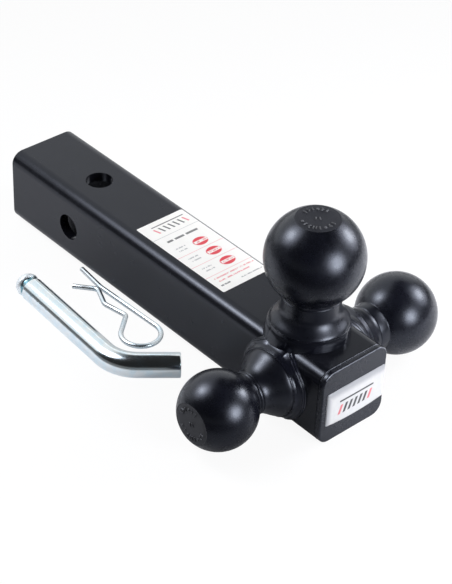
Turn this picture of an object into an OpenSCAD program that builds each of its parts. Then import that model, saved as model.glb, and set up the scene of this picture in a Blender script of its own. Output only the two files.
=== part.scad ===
// Three-ball receiver hitch: a square tube shank with a welded end cap,
// three forged towing balls welded round its front end, two labels,
// and the loose hitch pin and spring clip lying beside it.
//
// Frame: origin where the two crossing pin holes meet on the shank
// centreline. +X runs forward along the shank to the balls, +Z is up
// (the large ball stands on top), +Y is the side of the medium ball.
// The shank, the pin and the clip all rest on the plane z = -tube_w/2.

/* [Shank] */
// Outside width and height of the square shank
tube_w = 50.8; // [50.2:0.1:51.2]
// Wall thickness of the shank
tube_wall = 6.35; // [4:0.05:8]
// Outside corner radius of the shank
tube_r = 7.9; // [5:0.1:10]
// Distance from the pin holes back to the open end
tube_back = 59; // [40:1:90]
// Distance from the pin holes forward to the cap face
tube_front = 233.5; // [220:0.5:260]
// Radius of the four pin holes
pin_hole_r = 8.73; // [8:0.01:9]

/* [End cap] */
// Thickness of the end cap plate
cap_t = 3.2; // [2:0.1:6]
// Rounding of the front edge of the cap
cap_edge = 0.8; // [0.4:0.1:1.5]
// Width of the weld seam between tube and cap
seam_t = 1; // [0.5:0.1:2]
// How far the weld seam sits below the tube surface
seam_drop = 0.5; // [0.2:0.1:1]

/* [Balls] */
// Distance of the ball axes ahead of the pin holes
ball_x = 194.5; // [185:0.5:200]
// Radius of the large ball (top)
large_r = 29.37; // [29:0.01:30]
// Radius of the medium ball (far side)
medium_r = 25.4; // [25:0.01:26]
// Radius of the small ball (near side)
small_r = 23.81; // [23:0.01:24]
// Height of the large ball centre above the shank face
large_h = 50.2; // [46:0.1:56]
// Height of the medium ball centre above the shank face
medium_h = 49.15; // [44:0.1:54]
// Height of the small ball centre above the shank face
small_h = 43.45; // [40:0.1:50]
// Radius of the flat face forged on the end of every ball
flat_r = 13.2; // [10:0.1:15]
// Neck radius of the large ball
large_neck = 17.5; // [15:0.1:20]
// Neck radius of the medium ball
medium_neck = 15.2; // [13:0.1:17]
// Neck radius of the small ball
small_neck = 13.6; // [12:0.1:15]

/* [Welds] */
// Outer radius of the weld bead of the large ball
large_toe = 25.9; // [24:0.1:28]
// Outer radius of the weld bead of the medium ball
medium_toe = 26; // [24:0.1:28]
// Outer radius of the weld bead of the small ball
small_toe = 26.3; // [24:0.1:28]
// How far the bead face bulges outwards
bead_bulge = 0.9; // [0:0.1:2]

/* [Labels] */
// Length of the label on top of the shank
label_l = 81.3; // [70:0.1:95]
// Width of the label on top of the shank
label_w = 37; // [25:0.1:37]
// Distance from the pin holes to the rear edge of the top label
label_x = 57.2; // [50:0.1:70]
// Thickness of the printed label film
label_t = 0.2; // [0.1:0.05:0.4]
// Width of the domed badge on the end cap
badge_w = 45.9; // [35:0.1:47]
// Height of the domed badge at its ends
badge_h = 23.2; // [15:0.1:30]
// Thickness of the domed badge
badge_t = 1.3; // [0.5:0.1:2.5]
// How far the lower edge of the badge bows downwards in the middle
badge_bow = 1.6; // [0:0.1:3]

/* [Hitch pin] */
// Radius of the hitch pin rod
pin_r = 7.8; // [7.5:0.05:8.3]
// Length of the pin from the dome tip to the bend corner
pin_l = 103.3; // [90:0.1:130]
// Length of the handle from the bend corner to its end
pin_arm = 38.4; // [25:0.1:60]
// Angle the handle is bent through
pin_bend = 55; // [30:1:100]
// Centreline radius of the bend
pin_bend_r = 25; // [16:0.5:30]
// Smallest radius of the pin in the clip groove
pin_groove_r = 6.3; // [5:0.05:7]
// Width of the clip groove
pin_groove_w = 4.5; // [3.5:0.1:6]

/* [Spring clip] */
// Radius of the clip wire
wire_r = 1.6; // [1.2:0.05:2]

/* [View] */
// Piece to show on its own

/* [Hidden] */
$fn = 96;
half = tube_w / 2;
cap_x = tube_front - cap_t;        // back face of the cap
tube_end = cap_x - seam_t;         // front end of the tube
bench = -half;                     // plane everything rests on
spigot_r = 12.5;                   // root spigot of every ball
spigot_gap = 0.1;                  // spigot to wall hole
spigot_l = 8;                      // spigot depth below the face
root_in = 4;                       // weld preparation at the ball root

// ball tables: [ball radius, centre height, neck radius, groove height,
//               groove radius, flare end height, flare pull, ring heights]
LARGE  = [large_r,  large_h,  large_neck,  7.3, 23.2, 17.8, 2.2, [24.8]];
MEDIUM = [medium_r, medium_h, medium_neck, 9.0, 22.5, 21.6, 2.5, [21.9]];
SMALL  = [small_r,  small_h,  small_neck,  4.9, 21.2, 19.6, 3.3, [21.8, 19.9]];

// clip bend table: [straight length, turn in degrees, bend radius]
CLIP = [[21, 9, 30], [49.5, -232, 12.3], [14.5, 60, 3],
        [14.5, -34, 5], [12.0, 64, 4], [14, 0, 0]];
clip_at = [15.0, -26.6];
clip_heading = -6.7;

// pin placement: dome tip and heading on the bench
pin_at = [7.5, -68.2];
pin_heading = -3.77;
pin_tan = pin_bend_r * tan(pin_bend / 2);
lap = 0.2;                         // straight wire reaching into a bend
swell = 0.02;                      // extra radius of a bend over a straight

function bez(a, b, c, d, t) = pow(1 - t, 3) * a + 3 * t * pow(1 - t, 2) * b
                            + 3 * t * t * (1 - t) * c + pow(t, 3) * d;
function curve(a, b, c, d, n) = [for (i = [0 : n]) bez(a, b, c, d, i / n)];

// ---------------------------------------------------------------- helpers

// rounded square section, centred
module section(w, r) {
    square([w, w - 2 * r], center = true);
    square([w - 2 * r, w], center = true);
    for (a = [-1, 1], b = [-1, 1])
        translate([a * (w / 2 - r), b * (w / 2 - r)]) circle(r = r);
}

// rounded square bar along X from x0 to x1
module bar(x0, x1, w, r) {
    translate([x0, 0, 0]) rotate([90, 0, 90])
        linear_extrude(height = x1 - x0) section(w, r);
}

// places children with local +Z standing out of a shank face at the balls
module on_top()  { translate([ball_x, 0, half]) children(); }
module on_far()  { translate([ball_x, half, 0]) rotate([-90, 0, 0]) children(); }
module on_near() { translate([ball_x, -half, 0]) rotate([90, 0, 0]) children(); }

// hole through one wall for a ball root
module root_hole() {
    translate([0, 0, -tube_wall - 1])
        cylinder(r = spigot_r + spigot_gap, h = tube_wall + 2);
}

// one forged ball: flat-topped sphere, neck, flared foot and root spigot
module forged_ball(b) {
    top = sqrt(b[0] * b[0] - flat_r * flat_r);
    difference() {
        union() {
            intersection() {
                translate([0, 0, b[1]]) sphere(r = b[0]);
                translate([0, 0, b[1] + top - 3 * b[0]])
                    cylinder(r = b[0] + 1, h = 3 * b[0]);
            }
            rotate_extrude() polygon(concat(
                [[0, -spigot_l], [spigot_r - 1, -spigot_l],
                 [spigot_r, -spigot_l + 1], [spigot_r, 0],
                 [b[4] - root_in, 0]],
                curve([b[4], b[3]], [b[4] - 0.2, b[3] + b[6]],
                      [b[2], b[5] - 5.5], [b[2], b[5]], 14),
                [[b[2], b[1]], [0, b[1]]]));
        }
        // turned ring lines on the neck
        for (h = b[7])
            rotate_extrude() translate([b[2] + 0.1, h]) circle(r = 0.4);
    }
}

// weld bead round a ball foot, before it is cut to the tube
module bead(b, toe) {
    r0 = b[4] - root_in;
    rotate_extrude() polygon(concat(
        [[r0, -8], [r0, 0]],
        curve([b[4], b[3]],
              [b[4] + bead_bulge, b[3] - 0.6],
              [toe - 0.1 + bead_bulge / 3, b[3] * 0.42],
              [toe, 0], 8),
        [[toe, -8]]));
}

// wedge of space between the two 45 degree planes above one shank face
module mitre() {
    rotate([90, 0, 90]) linear_extrude(height = 80, center = true)
        polygon([[0, -half], [60, 60 - half], [-60, 60 - half]]);
}

// bend-table wire run, lying flat, starting at the origin along +X;
// each straight reaches a hair into the bends, which are a hair fatter
module wire(i) {
    s = CLIP[i];
    bent = s[2] > 0;
    a = i > 0 ? lap : 0;
    translate([-a, 0, 0]) rotate([0, 90, 0])
        cylinder(r = wire_r, h = s[0] + a + (bent ? lap : 0));
    if (bent)
        translate([s[0], 0, 0]) {
            k = s[1] > 0 ? 1 : -1;
            translate([0, k * s[2], 0]) rotate([0, 0, -90 * k])
                rotate_extrude(angle = s[1])
                    translate([s[2], 0]) circle(r = wire_r + swell);
            translate([0, k * s[2], 0]) rotate([0, 0, s[1]])
                translate([0, -k * s[2], 0])
                    if (i + 1 < len(CLIP)) wire(i + 1);
        }
}

// ------------------------------------------------------------- the pieces

module shank_tube() color([0.17, 0.17, 0.19]) {
    difference() {
        bar(-tube_back, tube_end, tube_w, tube_r);
        bar(-tube_back - 1, tube_end + 1, tube_w - 2 * tube_wall, 2.2);
        rotate([90, 0, 0])
            cylinder(r = pin_hole_r, h = tube_w + 2, center = true);
        cylinder(r = pin_hole_r, h = tube_w + 2, center = true);
        on_top() root_hole();
        on_far() root_hole();
        on_near() root_hole();
    }
}

module end_cap() color([0.19, 0.19, 0.21]) {
    r = tube_r;
    e = cap_edge;
    c = half - r;
    // corner pucks with a rounded front rim
    for (a = [-1, 1], b = [-1, 1])
        translate([cap_x, a * c, b * c]) rotate([0, 90, 0])
            rotate_extrude() {
                square([r, cap_t - e]);
                square([r - e, cap_t]);
                intersection() {
                    translate([r - e, cap_t - e]) circle(r = e);
                    translate([r - e, cap_t - e]) square([e, e]);
                }
            }
    // straight runs between them
    for (q = [0, 90])
        rotate([q, 0, 0]) translate([cap_x, 0, 0]) rotate([90, 0, 0])
            linear_extrude(height = 2 * c, center = true) {
                translate([0, -half]) square([cap_t - e, tube_w]);
                translate([0, -half + e]) square([cap_t, tube_w - 2 * e]);
                for (s = [-1, 1])
                    intersection() {
                        translate([cap_t - e, s * (half - e)]) circle(r = e);
                        translate([cap_t - e, s > 0 ? half - e : -half])
                            square([e, e]);
                    }
            }
}

module cap_weld() color([0.14, 0.14, 0.16]) {
    difference() {
        bar(tube_end, cap_x, tube_w - 2 * seam_drop, tube_r - seam_drop);
        bar(tube_end - 1, cap_x + 1, tube_w - 2 * tube_wall, 2.2);
    }
}

module ball_large()  color([0.12, 0.12, 0.14]) on_top()  forged_ball(LARGE);
module ball_medium() color([0.12, 0.12, 0.14]) on_far()  forged_ball(MEDIUM);
module ball_small()  color([0.12, 0.12, 0.14]) on_near() forged_ball(SMALL);

// a bead trimmed to the tube, to its 45 degree planes and to the bench
module trimmed_bead(b, toe) {
    difference() {
        intersection() {
            bead(b, toe);
            mitre();
        }
        translate([0, 0, -half]) bar(-50, 50, tube_w, tube_r);
    }
}

module weld_large() color([0.13, 0.13, 0.15])
    on_top() trimmed_bead(LARGE, large_toe);

module above_bench() {
    difference() {
        children();
        translate([ball_x - 60, -100, bench - 19.8]) cube([120, 200, 20]);
    }
}

module weld_medium() color([0.13, 0.13, 0.15])
    above_bench() on_far() trimmed_bead(MEDIUM, medium_toe);

module weld_small() color([0.13, 0.13, 0.15])
    above_bench() on_near() trimmed_bead(SMALL, small_toe);

module shank_label() color([0.93, 0.93, 0.93])
    translate([label_x, 2 - label_w / 2, half]) cube([label_l, label_w, label_t]);

module front_label() color([0.82, 0.83, 0.85]) {
    n = 16;
    r = 1;
    translate([tube_front, 1.45, -0.6]) rotate([90, 0, 90])
        linear_extrude(height = badge_t)
            polygon(concat(
                [for (i = [0 : n]) let (u = -1 + 2 * i / n)
                    [u * badge_w / 2, -badge_h / 2 - badge_bow * (1 - u * u)]],
                [[badge_w / 2, badge_h / 2 - r], [badge_w / 2 - r, badge_h / 2],
                 [-badge_w / 2 + r, badge_h / 2],
                 [-badge_w / 2, badge_h / 2 - r]]));
}

module hitch_pin() color([0.78, 0.80, 0.84])
    translate([pin_at[0], pin_at[1], bench + pin_r])
    rotate([0, 0, pin_heading]) {
        l = pin_l - pin_tan;
        g = pin_r - pin_groove_r;
        gr = (pin_groove_w * pin_groove_w / 4 + g * g) / (2 * g);
        a = pin_arm - pin_tan + lap;
        // straight shaft with a dome tip and the clip groove, turned in one
        rotate([0, 90, 0]) rotate_extrude() difference() {
            union() {
                translate([0, pin_r]) square([pin_r, l - pin_r + lap]);
                intersection() {
                    translate([0, pin_r]) circle(r = pin_r);
                    translate([0, 0.05]) square([pin_r, pin_r + 1]);
                }
            }
            translate([pin_groove_r + gr, pin_r + pin_groove_w / 2 - 0.2])
                circle(r = gr);
        }
        // bend and handle
        translate([l, pin_bend_r, 0]) rotate([0, 0, -90])
            rotate_extrude(angle = pin_bend)
                translate([pin_bend_r, 0]) circle(r = pin_r + swell);
        translate([l, pin_bend_r, 0]) rotate([0, 0, pin_bend])
            translate([-lap, -pin_bend_r, 0]) rotate([0, 90, 0])
                rotate_extrude() polygon([[0, 0], [pin_r, 0],
                    [pin_r, a - 0.8], [pin_r - 0.25, a - 0.25],
                    [pin_r - 0.8, a], [0, a]]);
    }

module r_clip() color([0.84, 0.85, 0.88])
    translate([clip_at[0], clip_at[1], bench + wire_r])
        rotate([0, 0, clip_heading]) wire(0);

shank_tube();
end_cap();
cap_weld();
ball_large();
ball_medium();
ball_small();
weld_large();
weld_medium();
weld_small();
shank_label();
front_label();
hitch_pin();
r_clip();
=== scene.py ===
import math

import bpy
from mathutils import Matrix, Vector, noise


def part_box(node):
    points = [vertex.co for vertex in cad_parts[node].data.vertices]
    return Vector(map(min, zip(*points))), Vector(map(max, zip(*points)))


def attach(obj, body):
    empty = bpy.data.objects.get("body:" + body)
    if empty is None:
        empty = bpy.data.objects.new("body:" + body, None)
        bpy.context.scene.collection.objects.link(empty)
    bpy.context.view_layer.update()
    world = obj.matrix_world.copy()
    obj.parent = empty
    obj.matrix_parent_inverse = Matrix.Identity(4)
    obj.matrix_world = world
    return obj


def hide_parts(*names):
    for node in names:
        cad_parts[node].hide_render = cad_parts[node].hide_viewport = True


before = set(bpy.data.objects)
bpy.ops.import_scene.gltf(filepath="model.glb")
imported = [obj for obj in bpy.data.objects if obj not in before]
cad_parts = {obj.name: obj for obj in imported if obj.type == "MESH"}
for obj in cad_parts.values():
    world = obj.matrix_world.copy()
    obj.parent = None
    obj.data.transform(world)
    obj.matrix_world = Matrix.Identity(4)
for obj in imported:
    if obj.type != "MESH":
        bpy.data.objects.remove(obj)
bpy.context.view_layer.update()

MM = 0.001
TAU = 2 * math.pi

# ------------------------------------------------------------------ places
tube_lo, tube_hi = (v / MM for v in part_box("shank_tube"))
cap_lo, cap_hi = (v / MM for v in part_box("end_cap"))
big_lo, big_hi = (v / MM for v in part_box("ball_large"))
lab_lo, lab_hi = (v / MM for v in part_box("shank_label"))
bad_lo, bad_hi = (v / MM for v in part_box("front_label"))
HALF = tube_hi.z
BENCH = -HALF
BALL_X = (big_lo.x + big_hi.x) / 2
CAP_FACE = cap_hi.x
TUBE_END = tube_hi.x
CORNER = 7.9
FLAT_R = 13.2

# forged ball tables, as in the CAD source: ball radius, centre height, neck
# radius, groove height, groove radius, flare end height, flare pull, rings
LARGE = (29.37, 50.2, 17.5, 7.3, 23.2, 17.8, 2.2, (24.8,))
MEDIUM = (25.4, 49.15, 15.2, 9.0, 22.5, 21.6, 2.5, (21.9,))
SMALL = (23.81, 43.45, 13.6, 4.9, 21.2, 19.6, 3.3, (21.8, 19.9))


def on_top(p):
    return (BALL_X + p[0], p[1], HALF + p[2])


def on_far(p):
    return (BALL_X + p[0], HALF + p[2], -p[1])


def on_near(p):
    return (BALL_X + p[0], -HALF - p[2], p[1])


# ----------------------------------------------------------------- meshing
def make(name, verts, faces, mats, body, sharp=35.0, face_mats=None):
    """A mesh piece from millimetre points, riding on a body."""
    me = bpy.data.meshes.new(name)
    me.from_pydata([(x * MM, y * MM, z * MM) for x, y, z in verts], [], faces)
    me.update()
    for m in mats:
        me.materials.append(m)
    if face_mats:
        for poly, k in zip(me.polygons, face_mats):
            poly.material_index = k
    me.polygons.foreach_set("use_smooth", [True] * len(me.polygons))
    me.set_sharp_from_angle(angle=math.radians(sharp))
    me.update()
    ob = bpy.data.objects.new(name, me)
    bpy.context.scene.collection.objects.link(ob)
    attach(ob, body)
    return ob


def ring_mesh(rings, closed_profile, place=None):
    """Quads between rings of points; each ring runs round the axis.
    A ring of one point closes the mesh there."""
    verts, faces, starts = [], [], []
    for r in rings:
        starts.append(len(verts))
        verts += [place(p) if place else p for p in r]
    count = len(rings)
    pairs = [(i, i + 1) for i in range(count - 1)]
    if closed_profile:
        pairs.append((count - 1, 0))
    for a, b in pairs:
        na, nb = len(rings[a]), len(rings[b])
        n = max(na, nb)
        for j in range(n):
            k = (j + 1) % n
            if na == 1:
                faces.append((starts[a], starts[b] + j, starts[b] + k))
            elif nb == 1:
                faces.append((starts[a] + j, starts[b], starts[a] + k))
            else:
                faces.append((starts[a] + j, starts[b] + j,
                              starts[b] + k, starts[a] + k))
    return verts, faces


def fix_normals(ob):
    import bmesh
    bm = bmesh.new()
    bm.from_mesh(ob.data)
    bmesh.ops.recalc_face_normals(bm, faces=bm.faces)
    bm.to_mesh(ob.data)
    bm.free()
    ob.data.update()


def bez(a, b, c, d, t):
    u = 1 - t
    return tuple(u ** 3 * a[i] + 3 * t * u * u * b[i] + 3 * t * t * u * c[i]
                 + t ** 3 * d[i] for i in range(2))


def lathe_rings(profile, n, wobble=None):
    rings = []
    for i, (r, h) in enumerate(profile):
        if r < 1e-6:
            rings.append([(0.0, 0.0, h)])
            continue
        ring = []
        for j in range(n):
            th = TAU * j / n
            rr, hh = wobble(i, th, r, h) if wobble else (r, h)
            ring.append((rr * math.cos(th), rr * math.sin(th), hh))
        rings.append(ring)
    return rings


# ------------------------------------------------------------ node helpers
class Nodes:
    """A small builder for procedural materials; lengths are millimetres."""

    def __init__(self, name):
        self.m = bpy.data.materials.new(name)
        self.m.use_nodes = True
        self.t = self.m.node_tree
        self.t.nodes.clear()
        self.out = self.t.nodes.new("ShaderNodeOutputMaterial")
        self._mm = None

    def add(self, kind, **props):
        n = self.t.nodes.new(kind)
        for k, v in props.items():
            setattr(n, k, v)
        return n

    def link(self, a, b):
        self.t.links.new(a, b)

    def put(self, socket, v):
        if isinstance(v, bpy.types.NodeSocket):
            self.link(v, socket)
        elif v is not None:
            socket.default_value = v

    def mm(self):
        if self._mm is None:
            c = self.add("ShaderNodeTexCoord")
            s = self.add("ShaderNodeVectorMath", operation="SCALE")
            self.link(c.outputs["Object"], s.inputs[0])
            s.inputs["Scale"].default_value = 1000.0
            self._mm = s.outputs[0]
        return self._mm

    def xyz(self, v=None):
        s = self.add("ShaderNodeSeparateXYZ")
        self.link(v or self.mm(), s.inputs[0])
        return s.outputs

    def vec(self, x, y, z):
        c = self.add("ShaderNodeCombineXYZ")
        self.put(c.inputs[0], x)
        self.put(c.inputs[1], y)
        self.put(c.inputs[2], z)
        return c.outputs[0]

    def stretch(self, x, y, z, v=None):
        n = self.add("ShaderNodeVectorMath", operation="MULTIPLY")
        self.link(v or self.mm(), n.inputs[0])
        n.inputs[1].default_value = (x, y, z)
        return n.outputs[0]

    def math(self, op, a, b=None, c=None, clamp=False):
        n = self.add("ShaderNodeMath", operation=op, use_clamp=clamp)
        self.put(n.inputs[0], a)
        if b is not None:
            self.put(n.inputs[1], b)
        if c is not None:
            self.put(n.inputs[2], c)
        return n.outputs[0]

    def noise(self, size_mm, detail=2.0, rough=0.5, v=None, distort=0.0):
        n = self.add("ShaderNodeTexNoise")
        self.link(v or self.mm(), n.inputs["Vector"])
        n.inputs["Scale"].default_value = 1.0 / size_mm
        n.inputs["Detail"].default_value = detail
        n.inputs["Roughness"].default_value = rough
        n.inputs["Distortion"].default_value = distort
        return n.outputs["Fac"]

    def voronoi(self, size_mm, v=None, feature="F1"):
        n = self.add("ShaderNodeTexVoronoi", feature=feature)
        self.link(v or self.mm(), n.inputs["Vector"])
        n.inputs["Scale"].default_value = 1.0 / size_mm
        return n.outputs["Distance"]

    def remap(self, x, a, b, c, d, smooth=False):
        n = self.add("ShaderNodeMapRange", clamp=True)
        if smooth:
            n.interpolation_type = "SMOOTHSTEP"
        self.put(n.inputs["Value"], x)
        n.inputs["From Min"].default_value = a
        n.inputs["From Max"].default_value = b
        n.inputs["To Min"].default_value = c
        n.inputs["To Max"].default_value = d
        return n.outputs["Result"]

    def mix(self, fac, a, b):
        n = self.add("ShaderNodeMix", data_type="RGBA")
        self.put(n.inputs[0], fac)
        for i, v in ((6, a), (7, b)):
            if isinstance(v, tuple):
                v = (*v, 1.0) if len(v) == 3 else v
            self.put(n.inputs[i], v)
        return n.outputs[2]

    def bump(self, height, dist_mm, strength=1.0, normal=None):
        n = self.add("ShaderNodeBump")
        self.put(n.inputs["Height"], height)
        n.inputs["Distance"].default_value = dist_mm * MM
        n.inputs["Strength"].default_value = strength
        if normal is not None:
            self.link(normal, n.inputs["Normal"])
        return n.outputs["Normal"]

    def principled(self, **kw):
        p = self.add("ShaderNodeBsdfPrincipled")
        for k, v in kw.items():
            if isinstance(v, tuple) and len(v) == 3:
                v = (*v, 1.0)
            self.put(p.inputs[k.replace("_", " ")], v)
        self.link(p.outputs[0], self.out.inputs["Surface"])
        return p

    # soft-edged masks in a plane; all return 1 inside
    def box_mask(self, u, v, cu, cv, hu, hv, soft=0.06):
        a = self.math("ABSOLUTE", self.math("SUBTRACT", u, cu))
        b = self.math("ABSOLUTE", self.math("SUBTRACT", v, cv))
        d = self.math("MAXIMUM", self.math("SUBTRACT", a, hu),
                      self.math("SUBTRACT", b, hv))
        return self.remap(d, -soft, soft, 1.0, 0.0)

    def oval_mask(self, u, v, cu, cv, hu, hv, soft=0.04):
        a = self.math("DIVIDE", self.math("SUBTRACT", u, cu), hu)
        b = self.math("DIVIDE", self.math("SUBTRACT", v, cv), hv)
        d = self.math("SQRT", self.math("ADD", self.math("MULTIPLY", a, a),
                                        self.math("MULTIPLY", b, b)))
        return self.remap(d, 1.0 - soft, 1.0 + soft, 1.0, 0.0)


PAINT_SPEC = dict(Specular_Tint=(0.80, 0.86, 1.0), Specular_IOR_Level=0.54)


def powder_coat(name, base, rough, peel, fleck=0.35, spec=None):
    """Black coat: orange-peel bump, faint dust and uneven gloss."""
    k = Nodes(name)
    big = k.noise(22.0, 3.0, 0.55)
    mid = k.noise(4.5, 3.0, 0.6)
    fine = k.noise(0.55, 3.0, 0.6)
    peel_n = k.noise(1.7, 2.0, 0.5)
    dust = k.remap(k.noise(9.0, 4.0, 0.7), 0.56, 0.78, 0.0, fleck, True)
    c0 = k.mix(k.remap(big, 0.35, 0.65, 0.0, 1.0), base,
               tuple(min(1.0, x * 1.3 + 0.0008) for x in base))
    c1 = k.mix(dust, c0, tuple(x * 1.6 + 0.004 for x in base))
    r = k.math("ADD", k.remap(mid, 0.3, 0.7, rough - 0.03, rough + 0.03),
               k.remap(big, 0.35, 0.65, -0.015, 0.02))
    h = k.math("ADD", k.math("MULTIPLY", peel_n, 1.0),
               k.math("MULTIPLY", fine, 0.35))
    p = k.principled(Base_Color=c1, Roughness=r, Normal=k.bump(h, peel, 1.0),
                     **PAINT_SPEC)
    if spec is not None:
        p.inputs["Specular IOR Level"].default_value = spec
    return k.m


def gloss_black(name, base, rough, peel=0.012):
    """Smoother black on the forged balls: a thin uneven gloss coat."""
    k = Nodes(name)
    big = k.noise(16.0, 3.0, 0.5)
    mid = k.noise(3.2, 3.0, 0.55)
    fine = k.noise(0.8, 3.0, 0.6)
    c = k.mix(k.remap(big, 0.35, 0.65, 0.0, 1.0), base,
              (base[0] * 1.35, base[1] * 1.35, base[2] * 1.5))
    r = k.math("ADD", k.remap(mid, 0.3, 0.7, rough - 0.02, rough + 0.03),
               k.remap(big, 0.35, 0.65, -0.015, 0.02))
    h = k.math("ADD", mid, k.math("MULTIPLY", fine, 0.25))
    k.principled(Base_Color=c, Roughness=r, Normal=k.bump(h, peel, 1.0),
                 **PAINT_SPEC)
    return k.m


def flat_black(name, lift=0.0, spec=0.54):
    """As-struck matte end face of a ball."""
    k = Nodes(name)
    big = k.noise(7.0, 3.0, 0.6)
    fine = k.noise(0.35, 4.0, 0.65)
    c = k.mix(k.remap(big, 0.3, 0.7, 0.0, 1.0),
              (0.014 + lift, 0.014 + lift, 0.017 + lift),
              (0.022 + lift, 0.022 + lift, 0.026 + lift))
    r = k.remap(fine, 0.3, 0.7, 0.48, 0.62)
    k.principled(Base_Color=c, Roughness=r, Normal=k.bump(fine, 0.04, 1.0),
                 Specular_Tint=PAINT_SPEC["Specular_Tint"],
                 Specular_IOR_Level=spec)
    return k.m


def zinc(name, tint, rough, axis_scale, relief=0.004, tip=None):
    """Bright zinc plate: cloudy tint, fine draw lines and small specks.
    With a tip (start x, y, heading, groove from, to) the end is duller and
    the groove is painted a darker, patchy teal as painted shade."""
    k = Nodes(name)
    cloud = k.noise(6.0, 4.0, 0.6)
    draw = k.noise(1.0, 3.0, 0.6, k.stretch(*axis_scale))
    speck = k.voronoi(1.1)
    pits = k.remap(speck, 0.03, 0.12, 1.0, 0.0, True)
    dark = tuple(x * 0.84 for x in tint)
    blue = (tint[0] * 0.88, tint[1] * 0.97, tint[2] * 1.02)
    c0 = k.mix(k.remap(cloud, 0.38, 0.66, 0.0, 1.0, True), tint, blue)
    c1 = k.mix(k.math("MULTIPLY", pits, 0.3), c0, dark)
    r = k.math("ADD", k.remap(cloud, 0.3, 0.7, rough - 0.02, rough + 0.04),
               k.math("MULTIPLY", k.remap(draw, 0.4, 0.7, 0.0, 1.0), 0.04))
    h = k.math("ADD", k.math("MULTIPLY", draw, 1.0),
               k.math("MULTIPLY", cloud, 1.0))
    if tip:
        x0, y0, head, ga, gb = tip
        px, py, _ = k.xyz()
        run = k.math("ADD",
                     k.math("MULTIPLY", k.math("SUBTRACT", px, x0),
                            math.cos(math.radians(head))),
                     k.math("MULTIPLY", k.math("SUBTRACT", py, y0),
                            math.sin(math.radians(head))))
        run = k.math("ADD", run, k.remap(cloud, 0.3, 0.7, -0.35, 0.35))
        dome = k.remap(run, ga + 0.2, ga + 1.8, 1.0, 0.0, True)
        # painted shade: the groove is darkened to a patchy teal
        groove_shade = k.math("MULTIPLY", k.remap(run, ga + 1.0, ga + 1.9, 0.0, 1.0,
                                          True),
                      k.remap(run, gb - 0.5, gb - 0.05, 1.0, 0.0, True))
        patch = k.remap(k.noise(2.6, 2.0, 0.5), 0.36, 0.60, 0.45, 1.0, True)
        c1 = k.mix(k.math("MULTIPLY", groove_shade, patch), c1, (0.16, 0.33, 0.39))
        c1 = k.mix(k.math("MULTIPLY", dome, 0.6), c1, (0.93, 0.95, 0.96))
        r = k.math("ADD", r, k.math("ADD", k.math("MULTIPLY", dome, 0.36),
                                    k.math("MULTIPLY", groove_shade, 0.08)))
    k.principled(Base_Color=c1, Metallic=1.0, Roughness=r,
                 Normal=k.bump(h, relief, 1.0))
    return k.m


M_TUBE = powder_coat("shank_paint", (0.0046, 0.0049, 0.0070), 0.235, 0.004,
                     0.05, 0.43)
M_CAP = powder_coat("cap_paint", (0.0040, 0.0044, 0.0072), 0.26, 0.004, 0.0, 0.64)
# painted highlight: a lighter grey coat that stands in for the bright line along
# the cap's edge and seam crest
M_EDGE_HIGHLIGHT = powder_coat("painted_edge_highlight", (0.100, 0.105, 0.120), 0.30, 0.006, 0.0,
                     0.9)
M_BALL = gloss_black("ball_paint", (0.0034, 0.0037, 0.0060), 0.265, 0.004)
M_FORGE = gloss_black("forging_paint", (0.0036, 0.0040, 0.0062), 0.29, 0.006)
M_WELD = gloss_black("weld_paint", (0.0034, 0.0037, 0.0060), 0.19, 0.004)
M_FLAT = flat_black("ball_end_paint", -0.008, 0.40)
# painted light: the side ball's end face gets a lighter copy of the end-face paint
M_FLAT_SIDE_LIT = flat_black("ball_end_paint_side_lit", 0.030)
# painted highlight: the raised marks are painted lighter than the end face they
# stand on
M_MARK_LIT = flat_black("struck_marks_lit", 0.06)
M_PIN = zinc("zinc_pin", (0.85, 0.905, 0.92), 0.14, (0.15, 3.0, 3.0), 0.004,
             (7.5, -68.2, -3.77, 6.8, 12.2))
M_WIRE = zinc("zinc_wire", (0.82, 0.875, 0.90), 0.25, (0.3, 1.5, 1.5), 0.0015)


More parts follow.
